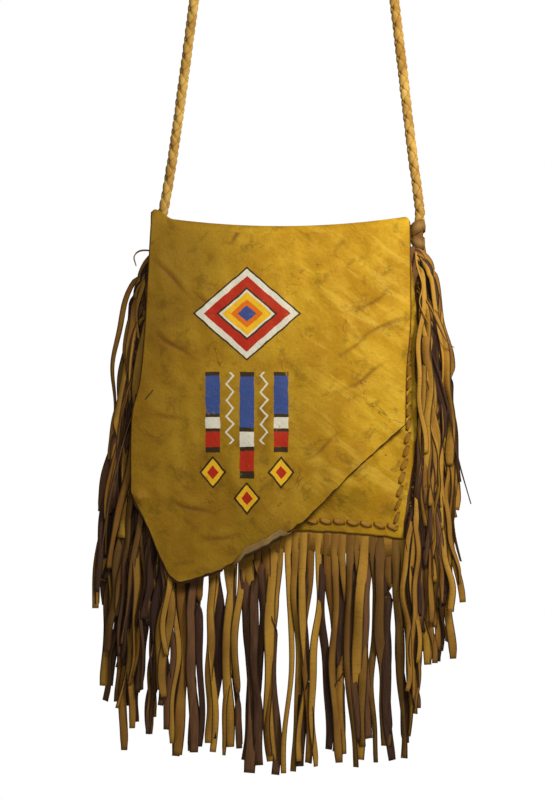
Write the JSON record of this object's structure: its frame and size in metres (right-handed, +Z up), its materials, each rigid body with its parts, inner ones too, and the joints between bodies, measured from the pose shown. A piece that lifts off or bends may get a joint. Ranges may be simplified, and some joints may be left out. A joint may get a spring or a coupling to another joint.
{
  "type": "fringed leather shoulder bag",
  "caption": "Flat leather shoulder bag with a fold-over flap, thong-laced seams, long cut fringe on three sides and a braided strap knotted to its top corners.",
  "frame": {"origin": "underside of the strap's loop at its top, where a peg or a shoulder bears, as the bag hangs", "axes": "+Z up, the flap faces -Y, +X to the right as seen from the front"},
  "size_m": [0.3726, 0.0382, 0.9717],
  "materials": {
    "golden_hide": "soft matt grain, mottled and creased",
    "pouch_hide": "soft matt grain",
    "fringe_hide": "brown suede flesh side and golden grain side",
    "tan_thong": "pale tan thong, slightly polished by wear"
  },
  "bodies": {
    "pouch": {"back_panel": "golden_hide", "front_panel": "pouch_hide", "fringe_left": "fringe_hide", "fringe_right": "fringe_hide", "fringe_bottom": "fringe_hide", "seam_lacing": "tan_thong", "strap_braid": "tan_thong", "strap_knot_left": "tan_thong", "strap_knot_right": "tan_thong"},
    "flap": {"flap": "golden_hide"}
  },
  "joints": [
    {"name": "flap_hinge", "type": "hinge", "parent": "pouch", "child": "flap", "pos_m": [0, 0, -0.4], "axis": [-1, 0, 0], "range_deg": [0, 150]}
  ]
}
